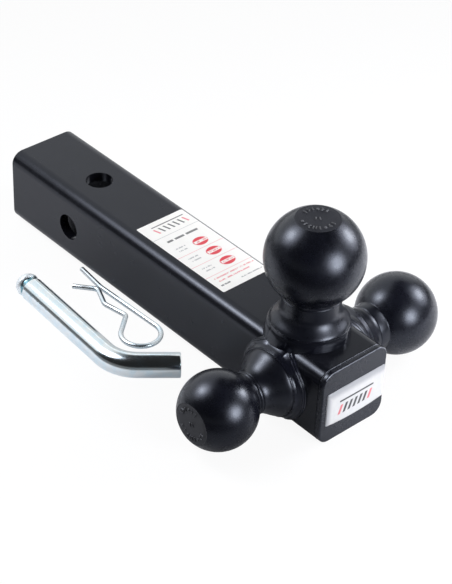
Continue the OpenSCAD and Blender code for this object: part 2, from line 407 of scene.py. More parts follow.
# ------------------------------------------------------------ forged balls
def ball_profile(b, edge=0.35, fillet=0.9):
    R, hc, rn, hg, rg, fh, pull, rings = b
    pts, tags = [], []

    def put(p, tag):
        pts.append(p)
        tags.append(tag)

    for p in ((0.0, -8.0), (6.0, -8.0), (11.5, -8.0), (12.3, -7.7),
              (12.5, -7.0), (12.5, -3.5), (12.5, -0.02), (15.0, 0.0),
              (rg - 4.0, 0.0), (rg - 2.0, hg * 0.5)):
        put(p, 1)
    # rounded lower rim of the flare
    for a in range(5):
        t = a / 4
        ang = -math.pi / 4 * (1 - t)
        put((rg - 0.8 + 0.8 * math.cos(ang), hg + 0.05 + 0.8 * math.sin(ang)), 1)
    n = 44
    for i in range(1, n + 1):
        h, r = bez((hg, rg), (hg + pull, rg - 0.2), (fh - 5.5, rn), (fh, rn),
                   i / n)
        put((r, h), 1)
    # neck with turned ring lines, then the fillet into the ball
    hf = hc - math.sqrt((R + fillet) ** 2 - (rn + fillet) ** 2)
    for hr in sorted(rings):
        w, d = 0.42, 0.34
        if hr - 1.2 > pts[-1][1]:
            put((rn, hr - 1.2), 1)
        for q in range(9):
            s = -1 + q / 4
            put((rn - d * (0.5 + 0.5 * math.cos(math.pi * s)), hr + w * s), 1)
    if hf - 0.2 > pts[-1][1]:
        put((rn, hf - 0.15), 1)
    sx, sy = (rn + fillet) / (R + fillet), -(hc - hf) / (R + fillet)
    a0, a1 = math.pi, math.atan2(-sy, -sx)
    a1 = a1 if a1 > 0 else a1 + TAU
    for i in range(7):
        a = a0 + (a1 - a0) * i / 6
        put((rn + fillet + fillet * math.cos(a), hf + fillet * math.sin(a)), 1)
    # the ball, from the fillet round to the flat
    top = math.sqrt(R * R - FLAT_R * FLAT_R)
    rc = math.sqrt((R - edge) ** 2 - (top - edge) ** 2)
    s0 = math.atan2(sx, sy)
    s1 = math.atan2(rc, top - edge)
    m = 96
    for i in range(1, m + 1):
        a = s0 + (s1 - s0) * i / m
        put((R * math.sin(a), hc + R * math.cos(a)), 0)
    for i in range(1, 7):
        a = s1 + (0 - s1) * i / 6
        put((rc + edge * math.sin(a), hc + top - edge + edge * math.cos(a)), 0)
    # end face with a faint struck rim line
    put((rc - 0.25, hc + top), 2)
    put((rc - 0.45, hc + top - 0.07), 2)
    put((rc - 0.65, hc + top), 2)
    for f in (0.75, 0.5, 0.25):
        put((rc * f, hc + top), 2)
    put((0.0, hc + top), 2)
    return pts, tags, hc + top


def build_ball(name, b, place, node, end_paint):
    pts, tags, top = ball_profile(b)
    n = 224
    rings = lathe_rings(pts, n)
    verts, faces = ring_mesh(rings, False, place)
    fm = []
    for i in range(len(pts) - 1):
        fm += [max(tags[i], tags[i + 1]) if 2 in (tags[i], tags[i + 1])
               else min(tags[i], tags[i + 1])] * n
    ob = make(name, verts, faces, [M_BALL, M_FORGE, end_paint], "shank",
              38.0, fm)
    fix_normals(ob)
    ob.data.set_sharp_from_angle(angle=math.radians(38))
    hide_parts(node)
    return top


def bar_marks(cx, cy, ang, w, l, z0, dz, place, verts, faces):
    """One raised bar with drafted sides and a softened top."""
    base = len(verts)
    ca, sa = math.cos(ang), math.sin(ang)
    for k, (g, z) in enumerate(((0.16, -0.05), (0.0, dz * 0.72), (-0.10, dz))):
        for sx, sy in ((-1, -1), (1, -1), (1, 1), (-1, 1)):
            x, y = sx * (w / 2 + g), sy * (l / 2 + g)
            verts.append(place((cx + x * ca - y * sa, cy + x * sa + y * ca,
                                z0 + z)))
    for a in (0, 4):
        for i in range(4):
            j = (i + 1) % 4
            faces.append((base + a + i, base + a + j,
                          base + a + 4 + j, base + a + 4 + i))
    faces.append(tuple(base + 8 + i for i in range(4)))
    faces.append(tuple(base + 3 - i for i in range(4)))


def stud_mark(cx, cy, r, z0, dz, place, verts, faces):
    """One raised round stud."""
    base, n = len(verts), 16
    levels = ((r + 0.12, -0.05), (r, dz * 0.6), (r * 0.72, dz * 0.95))
    for rr, z in levels:
        for i in range(n):
            a = TAU * i / n
            verts.append(place((cx + rr * math.cos(a), cy + rr * math.sin(a),
                                z0 + z)))
    verts.append(place((cx, cy, z0 + dz)))
    for k in range(2):
        for i in range(n):
            j = (i + 1) % n
            faces.append((base + k * n + i, base + k * n + j,
                          base + (k + 1) * n + j, base + (k + 1) * n + i))
    for i in range(n):
        faces.append((base + 2 * n + i, base + 2 * n + (i + 1) % n,
                      base + 3 * n))
    faces.append(tuple(base + n - 1 - i for i in range(n)))


def build_marks(name, place, top, turn):
    """Raised struck marks: rings of plain bars, chevrons and studs."""
    verts, faces = [], []
    dz = 0.55
    rr = 9.3
    kinds_a = "bcsbcb"
    kinds_b = "sbcdbscb"

    def glyph(kind, ang):
        cx, cy = rr * math.cos(ang), rr * math.sin(ang)
        if kind == "b":
            bar_marks(cx, cy, ang + math.pi / 2, 0.62, 2.5, top, dz, place,
                      verts, faces)
        elif kind == "d":
            for s in (-1, 1):
                bar_marks(cx - s * 0.75 * math.sin(ang),
                          cy + s * 0.75 * math.cos(ang),
                          ang + math.pi / 2, 0.5, 2.5, top, dz, place,
                          verts, faces)
        elif kind == "c":
            for s in (-1, 1):
                bar_marks(cx + s * 0.62 * math.cos(ang),
                          cy + s * 0.62 * math.sin(ang),
                          ang + math.pi / 2 + s * 0.75, 0.55, 1.75, top, dz,
                          place, verts, faces)
        else:
            stud_mark(cx, cy, 0.85, top, dz, place, verts, faces)

    for i, kd in enumerate(kinds_a):
        glyph(kd, turn + math.radians(52 + i * 17))
    for i, kd in enumerate(kinds_b):
        glyph(kd, turn + math.radians(196 + i * 19))
    for s in (-1, 1):
        bar_marks(s * 1.2 * math.cos(turn), s * 1.2 * math.sin(turn),
                  turn + 0.15 * s, 0.6, 2.3, top, dz, place, verts, faces)
    ob = make(name, verts, faces, [M_MARK_LIT], "shank", 50.0)
    fix_normals(ob)
    return ob


tops = {}
for nm, tab, place, node, turn in (
        ("ball_large_forging", LARGE, on_top, "ball_large", 0.9),
        ("ball_medium_forging", MEDIUM, on_far, "ball_medium", 2.2),
        ("ball_small_forging", SMALL, on_near, "ball_small", 0.35)):
    t = build_ball(nm, tab, place, node,
                   M_FLAT_SIDE_LIT if node == "ball_small" else M_FLAT)
    build_marks(nm.replace("forging", "marks"), place, t, turn)


# ------------------------------------------------------------- weld beads
def surface_drop(y):
    """How far the tube surface lies below its flat face at offset y."""
    y = abs(y)
    flat = HALF - CORNER
    if y <= flat:
        return 0.0
    if y >= HALF - 0.02:
        y = HALF - 0.02
    return CORNER - math.sqrt(CORNER ** 2 - (y - flat) ** 2)


def build_weld(name, b, place, node, toe, shift, shift_dir, seed, ridges,
               kink=None, jag=0.16, tuck=None):
    """A weld bead laid round a ball foot, draped over the tube corners.
    Its section has a ragged upper lip, a hollow and rolled ridges that run
    round the bead; its toe wanders and feathers into the tube."""
    rg, hg = b[4], b[3]
    n = 460
    off = Vector((seed * 13.7, seed * 5.1, seed * 2.3))

    def nz(th, freq, k=0.0):
        return noise.noise(Vector((math.cos(th) * freq, math.sin(th) * freq,
                                   k)) + off)

    prof_n = 78
    rings = [[] for _ in range(prof_n + 7)]
    for j in range(n):
        th = TAU * j / n
        ct, st = math.cos(th), math.sin(th)
        rt = toe + shift * math.cos(th - shift_dir) \
            + 0.45 * nz(th, 2.6) + 0.10 * nz(th, 9.0, 3.0)
        lip = 0.18 * nz(th, 6.0, 1.0)
        teeth = jag * 1.3 * nz(th, 30.0, 2.0)      # only at the very lip
        fat = 1.0 + 0.25 * nz(th, 3.5, 4.0)
        step = 0.0
        if kink:
            a = (th - kink[0] + math.pi) % TAU - math.pi
            rt += kink[1] * (1.0 / (1.0 + math.exp(a * 20)) - 0.5) \
                * math.exp(-abs(a) * 1.5)
            step = kink[2] * math.exp(-(a * 9) ** 2)
            lip += 0.35 * step
        flat = 0.0
        if tuck:
            # where the bead was laid tight against the foot
            a = (th - tuck[0] + math.pi) % TAU - math.pi
            flat = math.exp(-(a / tuck[1]) ** 4)
            rt -= tuck[2] * flat
        drop = surface_drop(rt * st)
        z_toe = -drop - 0.15
        p0 = (rg + 0.05, hg + 0.20 + lip)
        p3 = (rt, z_toe)
        run, fall = p3[0] - p0[0], p0[1] - p3[1]
        belly = 0.45 * fat * (1.0 - 0.9 * flat) + step
        p1 = (p0[0] + run * 0.34 + belly, p0[1] - fall * 0.20 + belly * 0.5)
        p2 = (p3[0] - run * 0.20 + belly * 0.5, p3[1] + fall * 0.30)
        col = [(rg - 3.6, -0.9), (rg - 1.7, hg * 0.5 - 0.3),
               (rg - 0.75, hg - 0.35), (rg - 0.22, hg + 0.05 + lip * 0.5)]
        nl = math.hypot(run, fall)
        nr, nh = fall / nl, run / nl
        for i in range(prof_n + 1):
            t = i / prof_n
            r, h = bez(p0, p1, p2, p3, t)
            d = 0.0
            for tc, w, amp, fade in ridges:
                tt = tc + 0.035 * nz(th, 4.0, tc * 9.0)
                live = 1.0 + fade * (nz(th, 3.0, 20.0 + tc * 5.0) * 1.6 - 0.2)
                d += amp * max(0.25, live) * math.exp(-((t - tt) / w) ** 2) \
                    * (1.0 if tc < 0.1 else 1.0 - 0.85 * flat)
            d += teeth * math.exp(-(t / 0.05) ** 2)
            env = math.sin(math.pi * t)
            d += env * (0.018 * math.sin(th * toe / 1.25 + 5.0 * (t - 0.5) ** 2
                                         + 2.4 * nz(th, 5.0, 7.0))
                        + 0.10 * nz(th, 3.0, 5.0 + t * 1.5))
            r += d * nr
            h += d * nh
            col.append((r, h))
        col.append((rt - 0.3, z_toe - 0.9))
        col.append(((rg - 3.6 + rt) / 2,
                    min(-1.2, (z_toe - 0.9 - 0.9) / 2 - 0.6)))
        for i, (r, h) in enumerate(col):
            rings[i].append((r * ct, r * st, h))
    rings = [r for r in rings if r]

    def settle(p):
        x, y, z = place(p)
        return (x, y, max(z, BENCH + 0.05))

    verts, faces = ring_mesh(rings, True, settle)
    ob = make(name, verts, faces, [M_WELD], "shank", 60.0)
    fix_normals(ob)
    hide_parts(node)
    return ob


# ridge table: place along the section, width, height, how much it fades
build_weld("weld_large_bead", LARGE, on_top, "weld_large", 25.7, 1.3,
           math.radians(-124), 1.0,
           [(0.02, 0.028, 0.26, 0.5), (0.18, 0.10, -0.26, 0.3),
            (0.55, 0.22, 0.30, 0.4), (0.80, 0.026, 0.14, 0.9)],
           (math.radians(15), 2.0, 0.7), 0.34,
           (math.radians(-38), math.radians(44), 1.5))
build_weld("weld_medium_bead", MEDIUM, on_far, "weld_medium", 26.0, 0.3,
           0.5, 2.0,
           [(0.02, 0.028, 0.24, 0.5), (0.11, 0.028, 0.20, 0.6),
            (0.34, 0.14, -0.34, 0.2), (0.64, 0.030, 0.26, 0.5),
            (0.80, 0.030, 0.24, 0.5)], None, 0.18)
build_weld("weld_small_bead", SMALL, on_near, "weld_small", 26.2, 0.3,
           1.2, 3.0,
           [(0.02, 0.028, 0.28, 0.4), (0.11, 0.028, 0.24, 0.5),
            (0.34, 0.14, -0.38, 0.2), (0.64, 0.032, 0.32, 0.3),
            (0.80, 0.032, 0.30, 0.3)], None, 0.18)


# --------------------------------------------------------- end cap seam
def outline(half, r, per_corner=14, per_side=70):
    """Points and outward directions round a rounded square in (y, z)."""
    out = []
    c = half - r
    for k in range(4):
        a0 = k * math.pi / 2
        # side k runs up to the corner after it
        ca, sa = math.cos(a0), math.sin(a0)
        for i in range(per_side):
            t = -c + 2 * c * i / per_side
            out.append(((half * ca - t * sa, half * sa + t * ca), (ca, sa)))
        cx, cy = c * ca - c * sa, c * sa + c * ca
        for i in range(per_corner):
            a = a0 + math.pi / 2 * i / per_corner
            d = (math.cos(a), math.sin(a))
            out.append(((cx + r * d[0], cy + r * d[1]), d))
    return out


def build_seam():
    pts = outline(HALF, CORNER)
    section = [(TUBE_END - 0.35, -2.6), (TUBE_END - 0.35, -0.62),
               (TUBE_END - 0.02, -0.30), (TUBE_END + 0.12, -0.14),
               (TUBE_END + 0.30, 0.03), (TUBE_END + 0.50, 0.08),
               (TUBE_END + 0.72, 0.02), (TUBE_END + 0.88, -0.14),
               (TUBE_END + 1.02, -0.30), (TUBE_END + 1.35, -0.62),
               (TUBE_END + 1.35, -2.6)]
    rings = []
    for i, (x, d) in enumerate(section):
        ring = []
        for j, ((y, z), nrm) in enumerate(pts):
            q = Vector((y * 0.9, z * 0.9, i * 0.15))
            w = 0.10 * noise.noise(q) + 0.12 * noise.noise(q * 2.7)
            if y < -HALF + CORNER * 0.75 and z > HALF - CORNER * 0.75:
                w -= 0.42                      # unfilled at this corner
            dd = d + (w if 2 < i < 8 else 0.0)
            xx = x + (0.10 * noise.noise(q * 1.3 + Vector((9, 0, 0)))
                      if 2 < i < 8 else 0.0)
            ring.append((xx, y + nrm[0] * dd, z + nrm[1] * dd))
        rings.append(ring)
    verts, faces = ring_mesh(rings, True)
    n = len(pts)
    # painted highlight: the seam crest on its upper half gets the lighter edge
    # coat
    fm = [1 if f // n in (4, 5) and pts[f % n][1][1] > 0.5 else 0
          for f in range(len(faces))]
    ob = make("cap_seam_bead", verts, faces, [M_WELD, M_EDGE_HIGHLIGHT], "shank",
              60.0, fm)
    fix_normals(ob)
    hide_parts("cap_weld")


build_seam()


def build_cap():
    """The end plate: ground edge slightly wavy under the paint, face flat."""
    pts = outline(HALF, CORNER, 16, 96)
    e = 0.95
    back = TUBE_END + 1.0
    secs = [(back, -3.0), (back, -0.45), (back + 0.12, -0.16),
            (back + 0.38, -0.02), (back + 0.8, 0.0)]
    secs += [(CAP_FACE - e - 0.3, 0.0)]
    secs += [(CAP_FACE - e + e * math.sin(a), -e + e * math.cos(a))
             for a in (math.pi / 2 * i / 12 for i in range(13))]
    secs += [(CAP_FACE, -e - q) for q in (0.4, 1.2, 2.6, 5.0, 9.0, 14.0)]
    rings = []
    for i, (x, d) in enumerate(secs):
        ring = []
        for (y, z), nrm in pts:
            w = 0.0
            if 5 < i < 18:
                fade = math.sin(math.pi * (i - 6) / 12)
                q = Vector((y * 0.85, z * 0.85, 3.0))
                w = fade * (0.055 * noise.noise(q)
                            + 0.030 * noise.noise(q * 2.3))
            r = 1.0
            if d < -2.0 and i > 6:
                # draw the face rings in towards the centre
                r = max(0.0, 1 - (-d - e) / (HALF - 1.0))
                ring.append((x, (y - nrm[0] * e) * r, (z - nrm[1] * e) * r))
                continue
            ring.append((x + w * 0.7, y + nrm[0] * (d + w * 0.7),
                         z + nrm[1] * (d + w * 0.7)))
        rings.append(ring)
    rings.append([(CAP_FACE, 0.0, 0.0)])
    rings.insert(0, [(back, 0.0, 0.0)])
    verts, faces = ring_mesh(rings, False)
    n = len(pts)
    fm = []
    for f in range(len(faces)):
        # ring index of this face; ring 0 is the single point at the back
        (_, (ny, nz)) = pts[f % n]
        # painted highlight: the rounding along the top and right front edge gets
        # the lighter edge coat
        painted_highlight = 11 <= f // n <= 15 and nz > -0.15 and ny > -0.75
        fm.append(1 if painted_highlight else 0)
    ob = make("end_cap_plate", verts, faces, [M_CAP, M_EDGE_HIGHLIGHT], "shank",
              60.0, fm)
    fix_normals(ob)
    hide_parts("end_cap")


build_cap()


# ------------------------------------------------------------------ labels
def rounded_rect(hw, hh, r, per=8):
    pts = []
    for k, (sx, sy) in enumerate(((1, 1), (-1, 1), (-1, -1), (1, -1))):
        for i in range(per + 1):
            a = math.pi / 2 * (k + i / per)
            pts.append((sx * (hw - r) + r * math.cos(a),
                        sy * (hh - r) + r * math.sin(a)))
    return pts


def label_material():
    """White printed film: panel rules, three red badges with a white band,
    and grey and dark dashes standing in for the printing."""
    k = Nodes("label_film")
    x, y, z = k.xyz()
    u = k.math("SUBTRACT", x, lab_lo.x)      # 0 at the rear edge
    v = k.math("SUBTRACT", y, lab_lo.y)      # 0 at the near edge
    white = (0.95, 0.93, 0.885)
    paper = k.noise(6.0, 3.0, 0.6)
    col = k.mix(k.remap(paper, 0.35, 0.65, 0.0, 1.0), white,
                (0.93, 0.91, 0.865))

    def ink(mask, colour, cur, opacity=1.0):
        if opacity != 1.0:
            mask = k.math("MULTIPLY", mask, opacity)
        return k.mix(mask, cur, colour)

    grey = (0.30, 0.31, 0.31)
    dark = (0.030, 0.032, 0.035)
    red = (0.72, 0.035, 0.055)

    def dashes(cu, cv, hu, hv, pitch, seed, colour, cur, opacity=0.85,
               duty=0.43):
        """A row along the width, broken into short uneven dashes."""
        run = k.noise(pitch, 1.0, 0.5, k.vec(seed * 3.1,
                                             k.math("ADD", v, seed * 17.0),
                                             k.math("MULTIPLY", u, 0.6)))
        gaps = k.remap(run, duty, duty + 0.05, 0.0, 1.0)
        m = k.math("MULTIPLY", k.box_mask(u, v, cu, cv, hu, hv, 0.06), gaps)
        return ink(m, colour, cur, opacity)

    # panel rules across the full width
    col = ink(k.box_mask(u, v, 16.2, 18.5, 0.17, 18.4), grey, col, 0.75)
    for cu in (39.4, 52.0, 65.0):
        col = ink(k.box_mask(u, v, cu, 18.5, 0.17, 18.4), red, col, 0.6)
    # plain mark in the first panel: slanted bars, the outer two red
    lean = k.math("ADD", v, k.math("MULTIPLY", u, -0.30))
    for cv in (9.6, 13.4, 17.2, 21.0, 24.8):
        col = ink(k.box_mask(u, lean, 9.6, cv, 2.6, 0.62, 0.10), dark, col,
                  0.92)
    col = ink(k.box_mask(u, v, 4.8, 20.6, 0.42, 12.6, 0.08), dark, col, 0.92)
    for cv in (5.8, 28.6):
        col = ink(k.box_mask(u, lean, 9.6, cv, 2.6, 0.62, 0.10),
                  (0.78, 0.16, 0.20), col, 0.9)
    # title row: three plain bars
    for cv, hv in ((8.6, 2.2), (16.0, 3.6), (25.8, 4.6)):
        col = ink(k.box_mask(u, v, 22.2, cv, 0.9, hv, 0.10), dark, col, 0.85)
    # three red badges with a white band, and small rows beside each
    for i, cu in enumerate((33.2, 45.7, 58.3)):
        badge = k.oval_mask(u, v, cu, 23.4, 4.0, 5.4, 0.04)
        col = ink(badge, red, col)
        band = k.box_mask(u, v, cu, 23.6, 1.25, 4.9, 0.12)
        col = ink(band, white, col, 0.95)
        col = dashes(cu, 23.6, 0.75, 4.2, 1.3, cu, red, col, 0.55, 0.46)
        col = dashes(cu - 2.2, 9.0, 0.55, 4.0, 1.15, cu + 1,
                     (0.30, 0.30, 0.31), col, 0.7)
        col = dashes(cu + 0.9, 9.0, 0.55, 3.4, 1.15, cu + 2,
                     (0.30, 0.30, 0.31), col, 0.7)
    # closing panel: two red rows, then two small dark ones
    col = dashes(68.4, 19.6, 0.60, 15.6, 1.35, 3.0, red, col, 0.62, 0.40)
    col = dashes(71.7, 17.0, 0.60, 12.0, 1.35, 4.0, red, col, 0.62, 0.40)
    col = dashes(75.8, 6.6, 0.65, 3.6, 1.3, 5.0, dark, col, 0.8, 0.36)
    col = dashes(76.6, 26.6, 0.50, 8.6, 1.1, 6.0, (0.25, 0.25, 0.26), col,
                 0.75, 0.40)
    soft = k.noise(14.0, 2.0, 0.5)
    k.principled(Base_Color=col, Roughness=k.remap(paper, 0.3, 0.7, 0.36, 0.44),
                 Coat_Weight=0.2, Coat_Roughness=0.28,
                 Normal=k.bump(soft, 0.05, 1.0))
    return k.m


def build_label():
    """The film lies on the flat and bends down over the tube's far corner."""
    y0, y1, x0, x1 = lab_lo.y, lab_hi.y, lab_lo.x, lab_hi.x
    rc, t = 0.9, 0.13
    ys = [y0 + rc * (1 - math.cos(math.pi / 2 * i / 6)) for i in range(7)]
    m = 34
    ys += [y0 + rc + (y1 - y0 - 2 * rc) * i / m for i in range(1, m)]
    ys += [y1 - rc * (1 - math.sin(math.pi / 2 * i / 6)) for i in range(7)]
    cols = 10
    verts, faces = [], []

    def row(y, lift):
        e = min(y - y0, y1 - y)
        inset = rc - math.sqrt(max(0.0, rc * rc - (rc - e) ** 2)) \
            if e < rc else 0.0
        a, b = x0 + inset, x1 - inset
        return [(a + (b - a) * i / cols, y,
                 HALF - surface_drop(y) + lift) for i in range(cols + 1)]

    for lift in (t, 0.004):
        for y in ys:
            verts += row(y, lift)
    w, nr = cols + 1, len(ys)
    base = w * nr
    for j in range(nr - 1):
        for i in range(cols):
            a = j * w + i
            faces.append((a, a + 1, a + w + 1, a + w))
            faces.append((base + a, base + a + w, base + a + w + 1,
                          base + a + 1))
    for j in range(nr - 1):
        for i, flip in ((0, False), (cols, True)):
            a, b = j * w + i, (j + 1) * w + i
            f = (a, b, base + b, base + a)
            faces.append(f[::-1] if flip else f)
    for j, flip in ((0, True), (nr - 1, False)):
        for i in range(cols):
            a, b = j * w + i, j * w + i + 1
            f = (a, b, base + b, base + a)
            faces.append(f[::-1] if flip else f)
    ob = make("shank_label_film", verts, faces, [label_material()], "shank",
              30.0)
    fix_normals(ob)
    ob.data.set_sharp_from_angle(angle=math.radians(30))
    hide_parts("shank_label")


build_label()


def badge_material():
    """Clear domed resin over a silver-white print with a plain mark."""
    k = Nodes("badge_resin")
    x, y, z = k.xyz()
    cy, cz = (bad_lo.y + bad_hi.y) / 2, (bad_lo.z + bad_hi.z) / 2
    u = k.math("SUBTRACT", y, cy)
    v = k.math("SUBTRACT", z, cz)
    silver = k.noise(3.0, 3.0, 0.6)
    col = k.mix(k.remap(silver, 0.35, 0.65, 0.0, 1.0), (0.70, 0.70, 0.695),
                (0.66, 0.66, 0.66))
    # painted shade: the print is darkened to grey towards the upper and left edges
    # under the dome
    top = k.remap(v, 6.6, 11.4, 0.0, 0.85, True)
    left = k.remap(u, -18.6, -22.8, 0.0, 0.75, True)
    col = k.mix(k.math("MAXIMUM", top, left), col, (0.33, 0.34, 0.37))
    dark = (0.020, 0.020, 0.024)
    red = (0.72, 0.17, 0.20)

    def slant(cu, cv, hu, hv, lean=0.32):
        uu = k.math("SUBTRACT", u, k.math("MULTIPLY", v, lean))
        return k.box_mask(uu, v, cu, cv, hu, hv, 0.10)

    # seven plain slanted bars, the outer two red, under a rule
    for cu in (-7.8, -3.9, 0.0, 3.9, 7.8):
        col = k.mix(slant(cu, -2.6, 1.0, 3.3), col, dark)
    for cu in (-11.7, 11.7):
        col = k.mix(slant(cu, -2.6, 1.0, 3.3), col, red)
    col = k.mix(slant(0.0, 3.6, 13.4, 0.62, 0.0), col, dark)
    k.principled(Base_Color=col, Roughness=0.30, Coat_Weight=1.0,
                 Coat_Roughness=k.remap(silver, 0.3, 0.7, 0.035, 0.06),
                 Coat_IOR=1.5)
    return k.m


def build_badge():
    cy = (bad_lo.y + bad_hi.y) / 2
    w = bad_hi.y - bad_lo.y
    bow = 1.6
    top = bad_hi.z
    low = bad_lo.z + bow
    x0, t = CAP_FACE, bad_hi.x - CAP_FACE
    h = top - low
    cz = (top + low) / 2
    rc = 1.1
    edge = []
    per, side = 8, 36
    # outline, counter-clockwise seen from the front
    def low_z(y):
        a = (y - cy) / (w / 2)
        return low - bow * max(0.0, 1 - a * a)
    for i in range(side + 1):
        y = cy - w / 2 + rc + (w - 2 * rc) * i / side
        edge.append((y, low_z(y)))
    for i in range(1, per):
        a = -math.pi / 2 + math.pi / 2 * i / per
        edge.append((cy + w / 2 - rc + rc * math.cos(a),
                     low_z(cy + w / 2 - rc) + rc + rc * math.sin(a)))
    for i in range(13):
        edge.append((cy + w / 2, low + rc + (h - 2 * rc) * i / 12))
    for i in range(1, per):
        a = math.pi / 2 * i / per
        edge.append((cy + w / 2 - rc + rc * math.cos(a),
                     top - rc + rc * math.sin(a)))
    for i in range(side + 1):
        edge.append((cy + w / 2 - rc - (w - 2 * rc) * i / side, top))
    for i in range(1, per):
        a = math.pi / 2 + math.pi / 2 * i / per
        edge.append((cy - w / 2 + rc + rc * math.cos(a),
                     top - rc + rc * math.sin(a)))
    for i in range(13):
        edge.append((cy - w / 2, top - rc - (h - 2 * rc) * i / 12))
    for i in range(1, per):
        a = math.pi + math.pi / 2 * i / per
        edge.append((cy - w / 2 + rc + rc * math.cos(a),
                     low_z(cy - w / 2 + rc) + rc + rc * math.sin(a)))
    rings = [[(x0 + 0.01, cy, cz)],
             [(x0 + 0.01, cy + (y - cy) * 0.5, cz + (z - cz) * 0.5)
              for y, z in edge],
             [(x0 + 0.01, y, z) for y, z in edge]]
    n_edge = Vector((w / 2, h / 2))
    for i in range(1, 26):
        f = (i / 25) ** 1.6           # 0 at the rim, 1 at the centre
        ring = []
        for y, z in edge:
            dy, dz = (y - cy), (z - cz)
            dist = f * min(math.hypot(dy, dz), 1e9)
            # distance in from the rim, measured square to the nearer edge
            yy, zz = cy + dy * (1 - f), cz + dz * (1 - f)
            d = min(w / 2 - abs(yy - cy), (top - zz) if zz > cz
                    else (zz - low_z(yy)))
            e = min(1.0, max(0.0, d) / 2.6)
            body = (1 - (1 - e) ** 2.4) ** 0.5
            a = (yy - cy) / (w / 2)
            bb = (zz - cz) / (h / 2)
            dome = (1 - a * a) * (1 - min(1.0, bb * bb))
            ring.append((x0 + t * (0.16 + 0.62 * body + 0.22 * dome), yy, zz))
        rings.append(ring)
    rings.append([(x0 + t, cy, cz)])
    # collapse the innermost ring onto the centre
    rings.pop(-2)
    verts, faces = ring_mesh(rings, False)
    ob = make("front_badge_dome", verts, faces, [badge_material()], "shank",
              50.0)
    fix_normals(ob)
    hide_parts("front_label")


build_badge()


# ------------------------------------------------------- bent round stock
def path_points(start, heading, segs, step_arc=2.5, lead=None):
    """Positions and headings along straight runs and bends in the plane."""
    x, y = start
    a = math.radians(heading)
    s = 0.0
    out = []
    for i, (length, turn, radius) in enumerate(segs):
        marks = [0.0, length]
        if lead and i == 0:
            marks = sorted(set(m for m in lead if m < length) | {length})
        elif length > 1:
            marks = [0.0, length * 0.5, length]
        for m in marks:
            out.append((x + m * math.cos(a), y + m * math.sin(a), a, s + m))
        x += length * math.cos(a)
        y += length * math.sin(a)
        s += length
        if radius:
            n = max(6, int(abs(turn) / step_arc))
            k = 1 if turn > 0 else -1
            cx, cy = x - k * radius * math.sin(a), y + k * radius * math.cos(a)
            da = math.radians(turn) / n
            for j in range(1, n + 1):
                aa = a + da * j
                out.append((cx + k * radius * math.sin(aa),
                            cy - k * radius * math.cos(aa), aa,
                            s + abs(da) * radius * j))
            x, y, a = (cx + k * radius * math.sin(a + da * n),
                       cy - k * radius * math.cos(a + da * n), a + da * n)
            s += abs(math.radians(turn)) * radius
    clean = []
    for p in out:
        if not clean or p[3] - clean[-1][3] > 1e-6:
            clean.append(p)
    return clean


def sweep(name, pts, z, radius_at, n, mat, body, node):
    rings = []
    for x, y, a, s in pts:
        r = radius_at(s)
        if r < 1e-4:
            rings.append([(x, y, z)])
            continue
        nx, ny = -math.sin(a), math.cos(a)
        rings.append([(x + nx * r * math.cos(t), y + ny * r * math.cos(t),
                       z + r * math.sin(t))
                      for t in (TAU * j / n for j in range(n))])
    if len(rings[0]) > 1:
        x, y, a, s = pts[0]
        rings.insert(0, [(x, y, z)])
    if len(rings[-1]) > 1:
        x, y, a, s = pts[-1]
        rings.append([(x, y, z)])
    verts, faces = ring_mesh(rings, False)
    ob = make(name, verts, faces, [mat], body, 40.0)
    fix_normals(ob)
    ob.data.set_sharp_from_angle(angle=math.radians(40))
    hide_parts(node)
    return ob


def build_pin():
    r, rgv, wgv = 7.8, 6.3, 4.5
    bend_r, bend = 25.0, 55.0
    tan = bend_r * math.tan(math.radians(bend / 2))
    l, arm = 103.3 - tan, 38.4 - tan
    g = r - rgv
    gr = (wgv * wgv / 4 + g * g) / (2 * g)
    gc = r + wgv / 2 - 0.2
    total = l + math.radians(bend) * bend_r + arm
    lead = [0.0]
    lead += [r * (1 - math.cos(math.pi / 2 * i / 26)) for i in range(1, 27)]
    g0, g1 = gc - wgv / 2 - 1.0, gc + wgv / 2 + 0.2
    lead += [g0 + 2.4 * i / 16 for i in range(17)]
    lead += [g1 - 1.2, g1 - 0.6]
    lead += [g1 - 0.3 + 0.3 * i / 8 for i in range(9)]
    lead += [g1 + q for q in (0.06, 0.14, 0.25, 0.4, 1.0, 2.0, 8.0, 20, 40, 60)]
    lead = sorted(set(round(v, 4) for v in lead))
    pts = path_points((7.5, -68.2), -3.77, [(l, bend, bend_r), (arm, 0, 0)],
                      1.5, lead)
    # softened far end
    x, y, a, s = pts.pop()
    for q in (0.8, 0.65, 0.5, 0.35, 0.22, 0.1, 0.0):
        pts.append((x - q * math.cos(a), y - q * math.sin(a), a, s - q))

    def radius_at(s):
        if s <= 0.0:
            return 0.0
        rr = r
        if s < r:
            rr = math.sqrt(max(0.0, r * r - (r - s) ** 2))
        if g0 < s < g1 + 0.25:
            if s < g0 + 2.4:
                t = (s - g0) / 2.4
                cut = rr + (rgv - rr) * (0.5 - 0.5 * math.cos(math.pi * t))
            elif s < g1 - 0.3:
                cut = rgv
            elif s < g1:
                t = (s - g1 + 0.3) / 0.3
                cut = rgv + (r - 0.28 - rgv) * (1 - math.sqrt(1 - t * t))
            else:
                t = (s - g1) / 0.25
                cut = r - 0.28 + 0.28 * math.sqrt(max(0.0, 1 - (1 - t) ** 2))
            rr = min(rr, cut)
        e = total - s
        if e < 0.8:
            rr = min(rr, r - 0.8 + math.sqrt(max(0.0, 0.64 - (0.8 - e) ** 2)))
        return rr

    sweep("hitch_pin_rod", pts, BENCH + r, radius_at, 96, M_PIN, "pin",
          "hitch_pin")


